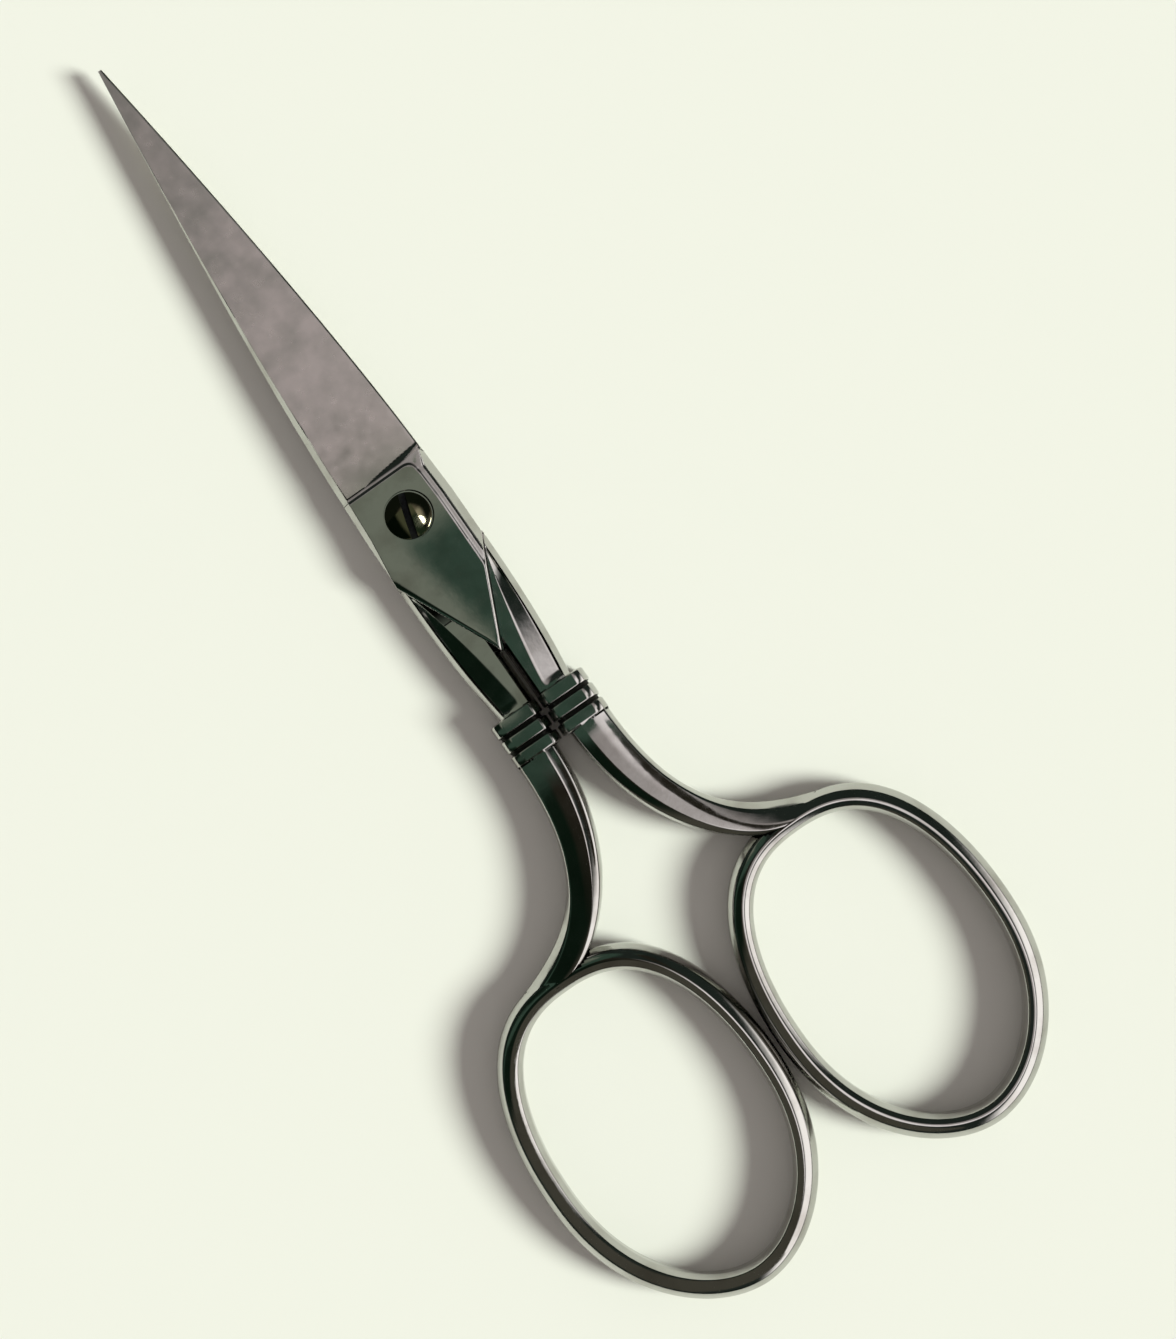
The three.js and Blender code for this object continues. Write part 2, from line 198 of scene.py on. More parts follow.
world = bpy.data.worlds.new("room")
bpy.context.scene.world = world
world.use_nodes = True
tree = world.node_tree
outward = tree.nodes.new("ShaderNodeTexCoord").outputs["Generated"]
aims = []
for azimuth in (window_azimuth, ceiling_azimuth):
    aim = tree.nodes.new("ShaderNodeVectorMath")
    aim.operation = "DOT_PRODUCT"
    tree.links.new(outward, aim.inputs[0])
    aim.inputs[1].default_value = (math.cos(azimuth), math.sin(azimuth), 0)
    aims.append(aim.outputs["Value"])
toward_window, toward_ceiling = aims
upward = node(tree, "ShaderNodeSeparateXYZ", (0, outward)).outputs["Z"]
walls = mixed(tree, eased(tree, toward_window, window_side), room_colour, window_colour)
ceiling = mixed(tree, eased(tree, toward_ceiling, ceiling_side), ceiling_far, ceiling_near)
room = mixed(tree, eased(tree, upward, ceiling_starts), walls, ceiling)
room = mixed(tree, eased(tree, upward, horizon_ends), room_colour, room)
light_path = tree.nodes.new("ShaderNodeLightPath")
seen, mirrored = light_path.outputs["Is Camera Ray"], light_path.outputs["Is Glossy Ray"]
room = mixed(tree, mirrored, fill_colour, room)
tree.links.new(mixed(tree, seen, room, backdrop_colour), tree.nodes["Background"].inputs["Color"])

card_mesh = bpy.data.meshes.new("dark_card")
corners = [(x * mm, y * mm, card_height) for x, y in card_outline + strip_outline]
card_end = len(card_outline)
card_mesh.from_pydata(corners, [], [range(card_end), range(card_end, len(corners))])
card_mesh.flip_normals()
card = bpy.data.objects.new("dark_card", card_mesh)
bpy.context.scene.collection.objects.link(card)
# The card's tones, laid out by place above the halves, are painted reflections for each part of the metal.
card_paint = bpy.data.materials.new("dark_card")
card_paint.use_nodes = True
tree = card_paint.node_tree
place = tree.nodes.new("ShaderNodeTexCoord").outputs["Object"]
axes = node(tree, "ShaderNodeSeparateXYZ", (0, place))
across, along = axes.outputs["X"], axes.outputs["Y"]
arms = mixed(tree, eased(tree, across, brown_starts), card_black, card_brown)
handles = mixed(tree, eased(tree, along, olive_ends), card_olive, arms)
handles = mixed(tree, eased(tree, along, arms_end), handles, card_green)
plate = mixed(tree, eased(tree, across, grey_starts_x), card_black, card_grey)
slanted = node(tree, "ShaderNodeMath", (0, along), (1, green_turn), (2, across))
slanted.operation = "MULTIPLY_ADD"
patch = mixed(tree, eased(tree, slanted.outputs[0], green_starts), plate, card_green)
plate = mixed(tree, eased(tree, along, green_ends), patch, plate)
tone = mixed(tree, eased(tree, along, grey_starts_y), handles, plate)
outside = tree.nodes.new("ShaderNodeNewGeometry").outputs["Backfacing"]
tone = mixed(tree, outside, tone, card_pale)
glow = node(tree, "ShaderNodeEmission", Color=tone)
tree.links.new(glow.outputs[0], tree.nodes["Material Output"].inputs["Surface"])
card_mesh.materials.append(card_paint)
card.visible_camera = False
card.visible_diffuse = False
card.visible_shadow = False


# Blade and pivot plate: the front of one steel forging. The blade's face is ground, which leaves a
# satin grain, and the plate behind it, which ends in a V, is polished and plated.
ride_gap = 0.04
tip_reach = high.y / mm
shoulder_reach = 4.6
shoulder_ramp = 0.65
ramp_slope = 0.45
tip_half_width = 0.19
spine_half_width = 4.66
edge_half_width = 4.0
spine_bow = 1.4
edge_bow = 1.5
spine_thickness = 1.55
edge_thickness = 1.5
tip_thickness = 0.45
edge_thinning = 1.5
edge_land = 0.3
edge_bevel = 0.12
spine_chamfer = 0.08
spine_chamfer_slope = 0.55
plate_edge_thickness = 1.55
plate_spine_thickness = 2.0
plate_edge_x = 4.25
v_half_width = 4.85
v_top = 5.0
v_reach = 15.5
v_bevel = (0.34, 0.16)
v_bevel_slope = (0.72, 1.0)
v_bevel_turn = 0.5
spine_draft = 0.98
draft_taper = 2.2
least_draft = 0.12
spine_wall = 0.72
border_width = 0.62
border_slope = 0.17
border_end_slope = 0.08
border_step = 0.08
border_step_width = 0.26
border_corner = 1.4
inner_chamfer = 0.56
inner_chamfer_slope = 1.2
heel_slope = 3.0
crease = 0.045
edge_round = 0.06
edge_round_points = [0, 0.3, 0.6, 1.0, 1.6, 2.4]
least_wall = 0.02
chamfer_share = 0.95
v_stations = 90
v_point_share = 0.002
v_crowding = 1.1
plate_stations = 70
shoulder_stations = 33
before_shoulder = 0.7
after_shoulder = 0.9
blade_stations = 70
width_points = 72
under_points = 12


def bare_object(name, mesh):
    """An object at the origin, unturned, that shows the mesh."""
    thing = bpy.data.objects.new(name, mesh)
    bpy.context.scene.collection.objects.link(thing)
    return thing


def skin(name, rows, ring=False):
    """A closed surface over a grid of points, rows by columns, in millimetres. The columns close on
    themselves. The rows close too for a ring; otherwise a fan round its middle closes each end."""
    count, width = rows.shape[:2]
    j = np.arange(width)
    i = np.arange(count if ring else count - 1)[:, None]
    here, there = i * width, ((i + 1) % count) * width
    after = (j + 1) % width
    quads = np.stack([here + j, here + after, there + after, there + j], axis=-1).reshape(-1, 4)
    points = rows.reshape(-1, 3)
    faces = quads.tolist()
    if not ring:
        first = len(points)
        points = np.vstack([points, rows[[0, -1]].mean(axis=1)])
        last_row = (count - 1) * width
        faces += np.stack([after, j, np.full(width, first)], axis=1).tolist()
        faces += np.stack([last_row + j, last_row + after, np.full(width, first + 1)], axis=1).tolist()
    mesh = bpy.data.meshes.new(name)
    mesh.from_pydata((points * mm).tolist(), [], faces)
    a, b, c = (points[quads[:, k]] for k in (0, 1, 2))
    d = points[quads[:, 3]]
    volume = np.einsum("ij,ij->i", a, np.cross(b, c)) + np.einsum("ij,ij->i", a, np.cross(c, d))
    if volume.sum() < 0:
        mesh.flip_normals()
    return bare_object(name, mesh)


def least(*heights):
    """The lowest of several heights, with each crease between them rounded over:
    minus the crease size times the logarithm of the summed exponentials."""
    return -crease * np.logaddexp.reduce([-h / crease for h in np.broadcast_arrays(*heights)])


def half_width(y, heel, bow):
    """Half width of the blade: from the tip it grows by one minus (one minus share) to a power,
    nearly straight at first and easing into the heel."""
    share = np.clip((tip_reach - y) / (tip_reach - shoulder_reach + shoulder_ramp), 0, 1)
    return tip_half_width + (heel - tip_half_width) * (1 - (1 - share) ** bow)


def plate_height(x):
    """Height of the plate's face, which falls in a straight line from the spine to the cutting
    side."""
    share = (x + edge_half_width) / (edge_half_width + spine_half_width)
    return ride_gap + plate_edge_thickness + (plate_spine_thickness - plate_edge_thickness) * share


def outline(y):
    """Left and right side of the blade and plate at a place along them. The plate runs out to the
    top of the V, and below it both sides close on the V's point."""
    left = -half_width(y, edge_half_width, edge_bow)
    right = half_width(y, spine_half_width, spine_bow)
    stations = [-v_reach, -v_top, 0, shoulder_reach]
    left_plate = np.interp(y, stations, [0, -v_half_width, -plate_edge_x, -edge_half_width])
    right_plate = np.interp(y, stations, [0, v_half_width, v_half_width, spine_half_width])
    on_plate = y < shoulder_reach
    return np.where(on_plate, left_plate, left), np.where(on_plate, right_plate, right)


def top_height(x, y, left, right):
    """Height of the outer face: the blade's ground face, or the plate's where that is higher.
    Each is the least of its planes: face, border, drafted spine side, ramp and edge bevels."""
    share = np.clip((tip_reach - y) / (tip_reach - shoulder_reach), 0, 1)
    at_spine = tip_thickness + (spine_thickness - tip_thickness) * share
    at_edge = tip_thickness + (edge_thickness - tip_thickness) * share ** edge_thinning
    width = right - left
    blade = ride_gap + at_edge + (at_spine - at_edge) * (x - left) / width
    bevel_slope = (edge_thickness - edge_land) / edge_bevel
    blade = least(
        blade,
        ride_gap + edge_land + bevel_slope * (x - left),
        blade - spine_chamfer + spine_chamfer_slope * (right - x),
    )
    face = plate_height(x)
    taper = np.clip((shoulder_reach + shoulder_ramp - y) / draft_taper, least_draft, 1)
    top_x = np.where(y < -v_top, v_half_width, right) - spine_draft * taper
    border_x = top_x - border_width
    border_y = shoulder_reach - border_width
    corner_x = np.maximum(x - border_x + border_corner, 0)
    corner_y = np.maximum(y - border_y + border_corner, 0)
    from_corner = np.hypot(corner_x, corner_y)
    past_border = from_corner - border_corner
    step = np.clip(past_border / border_step_width, 0, 1)
    fall = (border_slope * corner_x + border_end_slope * corner_y) / np.maximum(from_corner, 1e-9)
    border = face - border_step * step - fall * np.maximum(past_border, 0)
    draft_slope = (plate_height(top_x) - ride_gap - spine_wall) / (spine_draft * taper)
    draft = plate_height(top_x) - draft_slope * (x - top_x)
    border_fall_total = border_step + border_end_slope * border_width
    ramp = face - border_fall_total - ramp_slope * (y - shoulder_reach)
    v_slope = (v_reach - v_top) / v_half_width
    inside_v = (v_reach + y - np.abs(x) * v_slope) / math.hypot(1, v_slope)
    sides = [-v_bevel_turn, v_bevel_turn]
    v_edge = face + np.interp(x, sides, v_bevel_slope) * (inside_v - np.interp(x, sides, v_bevel))
    plate = least(face, border, draft, ramp, v_edge)
    heel = blade - heel_slope * np.maximum(shoulder_reach - y, 0)
    return np.maximum(plate, heel)


def blade_and_plate():
    """Rows of sections from the V's point to the tip. A section is a flat inner face, two side
    walls, and the outer face as a height over the width, with its two outer edges rounded."""
    shoulder = (shoulder_reach - before_shoulder, shoulder_reach + after_shoulder)
    y = np.concatenate([
        -v_reach + (v_reach - v_top) * np.linspace(v_point_share, 1, v_stations) ** v_crowding,
        np.linspace(-v_top, shoulder[0], plate_stations)[1:],
        np.linspace(*shoulder, shoulder_stations)[1:],
        np.linspace(shoulder[1], tip_reach, blade_stations)[1:],
    ])[:, None]
    left, right = outline(y)
    width = right - left
    near = np.minimum(np.array(edge_round_points) * edge_round, width / 4)
    middle = np.linspace(0, 1, width_points)[1:-1]
    inner_left = left + near[:, -1:]
    inner_right = right - near[:, -1:]
    x = np.hstack([left + near, inner_left + (inner_right - inner_left) * middle, right - near[:, ::-1]])
    z = top_height(x, y, left, right)
    side = np.clip(np.minimum(x - left, right - x) / edge_round, 0, 1)
    z = np.maximum(z - edge_round * (1 - np.sqrt(1 - (1 - side) ** 2)), ride_gap + least_wall)
    base = np.full_like(y, ride_gap)
    chamfer = np.minimum(inner_chamfer, width / 6)
    spine_foot = base + np.minimum(inner_chamfer_slope * chamfer, chamfer_share * (z[:, -1:] - base))
    wall_right = np.stack([right + 0 * y, y, spine_foot], axis=-1)
    wall_left = np.stack([left + 0 * y, y, (z[:, :1] + base) / 2], axis=-1)
    across = np.linspace(1, 0, under_points)
    under = np.stack([left + (width - chamfer) * across, y + 0 * across, base + 0 * across], axis=-1)
    top = np.stack([x, y + 0 * x, z], axis=-1)
    return np.concatenate([top, wall_right, under, wall_left], axis=1)


# Shank and collar: behind the plate the forging narrows to a fluted shank, rolled in with a round
# stone, and then swells to a collar with three filed bands.
shank_inner = 0.7
shank_parting = 0.14
parting_height = 0.12
shank_outer_top = 4.9
shank_taper = 0.9
shank_taper_power = 2.6
side_strip = 0.5
flute_top = 6.5
flute_inner_top = 4.2
flute_inner_end = 1.4
flute_power = 1.3
flute_depth = 0.36
flute_skew = 40
flute_end_gap = 0.25
flute_top_scoop = 2.3
flute_end_scoop = 0.6
flute_points = 16
least_flute = 0.1
ridge_height_top = 1.15
ridge_height_end = 1.62
border_fall = 0.12
inner_facet_slope = -0.07
side_fall = 0.95
inner_break = 0.05
ridge_break = 0.06
border_break = 0.05
side_break = (0.03, 0.08)
shank_stations = 130
shank_into_collar = 0.7
collar_reach = 20.9
collar_inner = 0.7
collar_outer = 5.25
band_lengths = [1.45, 1.4, 1.3]
groove_width = 0.27
groove_depth = 0.3
band_rounding = 0.22
band_edge = [(0, 1.0), (0.2, 0.42), (0.55, 0.1), (1.0, 0)]
collar_section = [(0.1, 0.12), (0.72, 1.95), (4.35, 2.1), (4.95, 1.75), (5.25, 0.9)]
collar_round = [0.1, 0.25, 0.4, 0.4, 0.3]
corner_steps = 6
most_of_side = 0.48
half_height = 2.1
v_clearance = 0.12


def rounded(corners, radius, steps):
    """Each corner of a closed section gives way to a parabolic arc, which leaves one side and
    joins the next a radius away from the corner, or just under half of a shorter side."""
    radius = np.asarray(radius)[..., None]

    def reach(side):
        """The way from a corner along a side, as far as the arc takes up."""
        length = np.maximum(np.linalg.norm(side, axis=-1, keepdims=True), 1e-9)
        return side / length * np.minimum(radius, most_of_side * length)

    start = (corners + reach(np.roll(corners, 1, axis=1) - corners))[:, :, None]
    stop = (corners + reach(np.roll(corners, -1, axis=1) - corners))[:, :, None]
    t = np.linspace(0, 1, steps)[:, None]
    arc = (1 - t) ** 2 * start + 2 * t * (1 - t) * corners[:, :, None] + t ** 2 * stop
    return arc.reshape(len(corners), -1, 3)


def both_sides(above):
    """A closed section from its upper half: the lower half mirrors it about the mid-plane."""
    below = above[:, ::-1] * np.array([1, 1, -1])
    return np.concatenate([above, below], axis=1)


def shank():
    """Sections along the shank: inner facet, ridge, scooped flute, narrow border and side. The
    flute's depth fades in and out at its ends. Its floor falls away from the ridge and rises to
    the border late, as the share across times (one minus that share to a power)."""
    reach = np.linspace(v_top, collar_reach + shank_into_collar, shank_stations)[:, None]
    share = np.clip((reach - v_top) / (collar_reach - v_top), 0, 1)
    flute_length = collar_reach - flute_end_gap - flute_top
    flute_share = np.clip((reach - flute_top) / flute_length, 0, 1)
    outer = shank_outer_top - shank_taper * share ** shank_taper_power
    border = outer - side_strip
    inner = flute_inner_end + (flute_inner_top - flute_inner_end) * (1 - flute_share) ** flute_power
    ridge = np.minimum(inner, border - least_flute)
    ridge_height = ridge_height_top + (ridge_height_end - ridge_height_top) * share
    fade_in = np.clip(flute_share * flute_length / flute_top_scoop, 0, 1)
    fade_out = np.clip((1 - flute_share) * flute_length / flute_end_scoop, 0, 1)
    scoop = flute_depth * np.sqrt(fade_in * fade_out)
    floor_share = 1 - (1 - np.linspace(0, 1, flute_points)) ** 2
    across = ridge + (border - ridge) * floor_share
    hollow = floor_share * (1 - floor_share ** flute_skew)
    height = ridge_height - border_fall * floor_share - scoop * hollow / hollow.max()
    first = np.hstack([shank_inner + inner_break + 0 * reach, ridge - ridge_break])
    facet_fall = inner_facet_slope * (ridge - shank_inner)
    first_height = np.hstack([ridge_height - facet_fall, ridge_height])
    last = np.hstack([border + border_break, outer - side_break[0], outer])
    side = ridge_height - side_fall
    last_height = np.hstack([ridge_height - border_fall - border_break, side + side_break[1], side])
    out = np.hstack([shank_parting + 0 * reach, first, across, last])
    up = np.hstack([parting_height + 0 * reach, first_height, height, last_height])
    return both_sides(np.stack([-out, -reach + 0 * out, up], axis=-1))


def collar():
    """Sections along the collar: a box with rounded corners, which is full size on a band and
    drawn in by the groove depth between bands, with a rounded step from one to the other."""
    places = []
    insets = []
    reach = collar_reach
    step, drop = np.array(band_edge).T
    rise, fall = band_rounding * step, groove_depth * drop
    for length in band_lengths:
        places += [*(reach + rise), *(reach + length - rise[::-1])]
        insets += [*fall, *fall[::-1]]
        reach += length + groove_width
    places = np.array(places)[:, None]
    insets = np.array(insets)[:, None]
    out, up = np.array(collar_section).T
    middle = (collar_inner + collar_outer) / 2
    out = middle + (out - middle) * (1 - 2 * insets / (collar_outer - collar_inner))
    up = up * (1 - insets / half_height)
    above = np.stack([-out, -places + 0 * out, up], axis=-1)
    return rounded(both_sides(above), collar_round + collar_round[::-1], corner_steps)


# Arm and finger ring: a crested arm sweeps from the collar into an oval ring, forged as a flat bar
# and polished round on its inner and outer sides.
arm_inset = 0.1
arm_outer_drop = 11.9
arm_inner_drop = 11.4
arm_outer_run = 8.5
arm_inner_run = 5.9
arm_inner_rise = 0.7
crown_share = 0.28
arm_landing_angle = 1.31
ring_centre_x = 13.3
ring_centre_reach = 61.0
hole_half_width = 10.65
hole_half_length = 15.55
bar_width = 2.45
bar_section = [(0.0, 0.7), (0.15, 1.82), (0.35, 2.1), (0.46, 2.1), (0.76, 1.7), (1.0, 0.7)]
bar_round = [0.25, 0.15, 0.15, 0.22, 0.35, 0.3]
arm_section = [(0.0, 0.7), (0.07, 1.7), (0.3, 2.0), (0.6, 2.02), (0.93, 1.83), (1.0, 0.85)]
arm_round = [0.2, 0.3, 0.1, 0.3, 0.25, 0.2]
arm_blend = (0.35, 0.95)
arm_sink = 0.02
landing_sink = 0.02
top_fullness = 2.42
bottom_fullness = 1.93
ring_stations = 260
oval_steps = 4000
arm_stations = 90
arm_corner_steps = 5
collar_end = collar_reach + sum(band_lengths) + 2 * groove_width


def ring_point(angle, offset):
    """A point of the oval, as (x, reach), an offset away from the hole's edge. It is an ellipse
    whose cosine and sine are raised to two over its fullness, which eases from bottom to top."""
    c, s = np.cos(angle), np.sin(angle)
    fullness = bottom_fullness + (top_fullness - bottom_fullness) * (1 + s) / 2
    power = 2 / fullness
    x = ring_centre_x + (hole_half_width + offset) * np.sign(c) * np.abs(c) ** power
    reach = ring_centre_reach - (hole_half_length + offset) * np.sign(s) * np.abs(s) ** power
    return np.stack(np.broadcast_arrays(x, reach), axis=-1)


def even_angles(count):
    """Angles round the oval that lie the same way apart along it: its length is summed over small
    steps, and the angles are read back at equal shares of the sum."""
    angle = np.linspace(0, 2 * math.pi, oval_steps + 1)
    step = np.linalg.norm(np.diff(ring_point(angle, bar_width / 2), axis=0), axis=1)
    along = np.concatenate([[0], np.cumsum(step)])
    return np.interp(np.linspace(0, along[-1], count + 1)[:-1], along, angle)


def finger_ring():
    """The bar's section carried round the oval: flat on top, sloped to both sides."""
    angle = even_angles(ring_stations)[:, None]
    share, height = np.array(bar_section).T
    at = ring_point(angle, share * bar_width)
    above = np.concatenate([-at, np.broadcast_to(height[:, None], (*at.shape[:2], 1))], axis=-1)
    return rounded(both_sides(above), bar_round + bar_round[::-1], corner_steps)


def bezier(points, t):
    """A cubic curve through its first and last point, drawn to the two between them: the four are
    weighted by the terms of (one minus t, plus t) cubed."""
    a, b, c, d = (np.asarray(p) for p in points)
    return (1 - t) ** 3 * a + 3 * t * (1 - t) ** 2 * b + 3 * t ** 2 * (1 - t) * c + t ** 3 * d


def arm():
    """The crested section spans two curves, which leave the collar straight and run into the
    ring: the outer one along the bar's outside, the inner one to the crown of the hole. Toward
    the ring it eases over into the part of the bar's section beyond the crown."""
    start = collar_end - groove_depth
    landing = ring_point(arm_landing_angle, bar_width - landing_sink)
    step = 0.01
    near, far = (ring_point(arm_landing_angle + turned, bar_width) for turned in (-step, step))
    along = near - far
    before = landing - along / np.linalg.norm(along) * arm_outer_run
    out_x = collar_outer - arm_inset
    outer = [(out_x, start), (out_x, start + arm_outer_drop), before, landing]
    crown = ring_point(math.pi / 2, crown_share * bar_width)
    in_x = collar_inner + arm_inset
    inner = [(in_x, start), (in_x, start + arm_inner_drop), crown - (arm_inner_run, arm_inner_rise), crown]
    t = np.linspace(0, 1, arm_stations)[:, None]
    inside = bezier(inner, t)[:, None]
    outside = bezier(outer, t)[:, None]
    merge = np.clip((t - arm_blend[0]) / (arm_blend[1] - arm_blend[0]), 0, 1)
    merge = merge * merge * (3 - 2 * merge)
    share, height = np.array(arm_section).T
    bar_share, bar_height = np.array(bar_section).T
    bar_share = np.maximum((bar_share - crown_share) / (1 - crown_share), 0)
    share = share + (bar_share - share) * merge
    height = height + (bar_height - arm_sink - height) * merge
    radius = np.array(arm_round) + (np.array(bar_round) - np.array(arm_round)) * merge
    at = inside + (outside - inside) * share[..., None]
    above = np.concatenate([-at, height[..., None]], axis=-1)
    return rounded(both_sides(above), np.hstack([radius, radius[:, ::-1]]), arm_corner_steps)


# One forging: blade, plate, shank, collar, arm and ring are a single piece of steel, so their
# surfaces are joined into one. It is bored for the screw, nickel plated all over but where it is
# ground, and turned over for the lower half.
bore_radius = 1.68
bore_sides = 96
recess_radius = 2.36
recess_depth = 0.3
recess_break = 0.06
recess_flare = 4 * recess_break
round_sides = 128
past_plate = 2
ride_level = 0.9
sharp_angle = math.radians(32)
marks_clear_of_pivot = 2.9
ridge_bend = (2.0, 7.0)
hollow_bend = (2.5, 8.0)
# Sharp hollows darken to this colour: soiling, and painted shade in creases and grooves.
hollow_shade_and_dirt = (0.012, 0.013, 0.009, 1)
hollow_roughness = 0.7
least_turn = math.radians(3)
ridge_turn_limit = math.radians(60)
nickel_clean = (0.50, 0.50, 0.475, 1)
nickel_worn = (0.39, 0.38, 0.355, 1)
nickel_gloss = (0.06, 0.16)
nickel_grain = (1, 0.2, 1)
nickel_grain_depth = 0.0004 * mm
ground_clean = (0.74, 0.70, 0.665, 1)
ground_darker = (0.49, 0.49, 0.45, 1)
ground_gloss = (0.27, 0.40)
ground_grain = (0.06, 1, 1)
ground_grain_depth = 0.0006 * mm
even_dulling = (0, (0.45, 0.72))
# The ground finish turns to its darker tone toward the tips, by this rise for each metre along.
tip_darkening = (7.4, (0.50, 0.94))
# Ridges lighten toward this colour: partly worn plating, partly a painted highlight along the crests.
rubbed_highlight_colour = (0.60, 0.585, 0.56, 1)
rubbed_roughness = 0.28
rubbed_highlight_smudges = (0.3, 0.7)
rubbed_highlight_share = (0.2, 1.0)
gloss_smudges = (0.35, 0.75)
patch_noise = (330, 5)
smudge_noise = (900, 4)
grain_noise = (9000, 3)
unstretched = (1, 1, 1)
ripple_depth = 0.012 * mm
dent_depth = 0.005 * mm


def carve(piece, tool, operation):
    """Joins or cuts two closed surfaces and uses the second one up."""
    step = piece.modifiers.new(operation, "BOOLEAN")
    step.operation = operation
    step.solver = "MANIFOLD"
    step.object = tool
    depsgraph = bpy.context.evaluated_depsgraph_get()
    whole = bpy.data.meshes.new_from_object(piece.evaluated_get(depsgraph))
    piece.modifiers.clear()
    piece.data = whole
    bpy.data.objects.remove(tool)


def lathe(name, profile, sides):
    """A profile of (radius, height) turned about the pivot axis."""
    radius, height = np.array(profile, float).T[:, :, None]
    angle = np.linspace(0, 2 * math.pi, sides, endpoint=False)
    rows = np.stack([radius * np.cos(angle), radius * np.sin(angle), height + 0 * angle], axis=-1)
    return skin(name, rows)


def keep_out():
    """The room of the other half's plate, which the shank is cut clear of."""
    v_slope = (v_reach - v_top) / v_half_width
    drop = v_clearance * math.hypot(1, v_slope)
    side = v_half_width + past_plate
    corners = [
        (-side, 0),
        (-side, -v_top - v_clearance),
        (-v_half_width, -v_top - drop),
        (0, -v_reach - drop),
        (v_half_width, -v_top - drop),
        (side, -v_top),
        (side, 0),
    ]
    x, y = np.array(corners).T
    levels = np.array([-2 * half_height, ride_gap])[:, None]
    return skin("keep_out", np.stack([x + 0 * levels, y + 0 * levels, levels + 0 * x], axis=-1))


def forging(name):
    """One half, with its mid-plane at height zero: its stretches joined, less the other half's
    plate and the bore."""
    rear = skin("shank", shank())
    carve(rear, keep_out(), "DIFFERENCE")
    half = skin(name, blade_and_plate())
    carve(half, rear, "UNION")
    carve(half, skin("collar", collar()), "UNION")
    carve(half, skin("arm", arm()), "UNION")
    carve(half, skin("ring", finger_ring(), ring=True), "UNION")
    bore = lathe("bore", [(bore_radius, -half_height), (bore_radius, 2 * half_height)], bore_sides)
    carve(half, bore, "DIFFERENCE")
    return half


def mark_ridges(mesh, centre, normal):
    """Writes to each face how much it is part of a sharp ridge or a sharp hollow, from none to
    one: the turn from the face to its neighbour over their distance, eased between two values."""
    edges = np.zeros(len(mesh.loops), np.int64)
    mesh.loops.foreach_get("edge_index", edges)
    starts = np.zeros(len(mesh.polygons), np.int64)
    mesh.polygons.foreach_get("loop_start", starts)
    face = np.zeros(len(edges), np.int64)
    face[starts[1:]] = 1
    face = np.cumsum(face)
    order = np.argsort(edges, kind="stable")
    one, two = face[order[0::2]], face[order[1::2]]
    across = centre[two] - centre[one]
    distance = np.maximum(np.linalg.norm(across, axis=1) / mm, 1e-3)
    turn_angle = np.arccos(np.clip((normal[one] * normal[two]).sum(1), -1, 1))
    turn_angle[turn_angle < least_turn] = 0
    falls_away = (across * normal[one]).sum(1) < 0
    on_ridge = falls_away & (turn_angle < ridge_turn_limit)
    for name, bend, span in (
        ("ridge", np.where(on_ridge, turn_angle / distance, 0), ridge_bend),
        ("hollow", np.where(falls_away, 0, turn_angle / distance), hollow_bend),
    ):
        strongest = np.zeros(len(mesh.polygons))
        np.maximum.at(strongest, one, bend)
        np.maximum.at(strongest, two, bend)
        share = np.clip((strongest - span[0]) / (span[1] - span[0]), 0, 1)
        share[np.hypot(centre[:, 0], centre[:, 1]) < marks_clear_of_pivot * mm] = 0
        share = share * share * (3 - 2 * share)
        mesh.attributes.new(name, "FLOAT", "FACE").data.foreach_set("value", share)


def finish_half(half, turned, body, paints):
    """Lifts a half to its height, turned over about the long axis or not, smooths all but its
    sharp edges, gives the ground faces their own finish, and puts it in the place of its solid."""
    place = Matrix.Translation((0, 0, mid_height))
    if turned:
        place = place @ Matrix.Rotation(math.pi, 4, "Y")
    half.data.transform(place)
    faces = half.data.polygons
    centre = np.zeros(3 * len(faces))
    normal = np.zeros(3 * len(faces))
    faces.foreach_get("center", centre)
    faces.foreach_get("normal", normal)
    centre, normal = centre.reshape(-1, 3), normal.reshape(-1, 3)
    level = (normal[:, 1] < ramp_slope / 2) & (np.abs(normal[:, 0]) < spine_chamfer_slope / 2)
    on_blade = (centre[:, 1] > shoulder_reach * mm) & level
    at_middle = np.abs(centre[:, 2] - mid_height) < 2 * ride_gap * mm
    on_ride = at_middle & (np.abs(normal[:, 2]) > ride_level)
    mark_ridges(half.data, centre, normal)
    half.data.materials.clear()
    for paint in paints:
        half.data.materials.append(paint)
    faces.foreach_set("material_index", (on_blade | on_ride).astype(np.int32))
    faces.foreach_set("use_smooth", np.ones(len(faces), bool))
    half.data.set_sharp_from_angle(angle=sharp_angle)
    flats = half.modifiers.new("flats", "WEIGHTED_NORMAL")
    flats.keep_sharp = True
    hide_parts(body)
    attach(half, body)


def noise(tree, place, stretch, scale, detail):
    """Noise over the piece: its place, stretched along its axes, read at a scale and detail."""
    stretched = node(tree, "ShaderNodeMapping", Vector=place, Scale=stretch).outputs[0]
    return node(tree, "ShaderNodeTexNoise", Vector=stretched, Scale=scale, Detail=detail).outputs["Fac"]


def ranged(tree, value, span, result):
    """A value carried in a straight line from one span to another, and held at its ends."""
    carried = node(
        tree, "ShaderNodeMapRange", Value=value,
        From_Min=span[0], From_Max=span[1], To_Min=result[0], To_Max=result[1],
    )
    return carried.outputs["Result"]


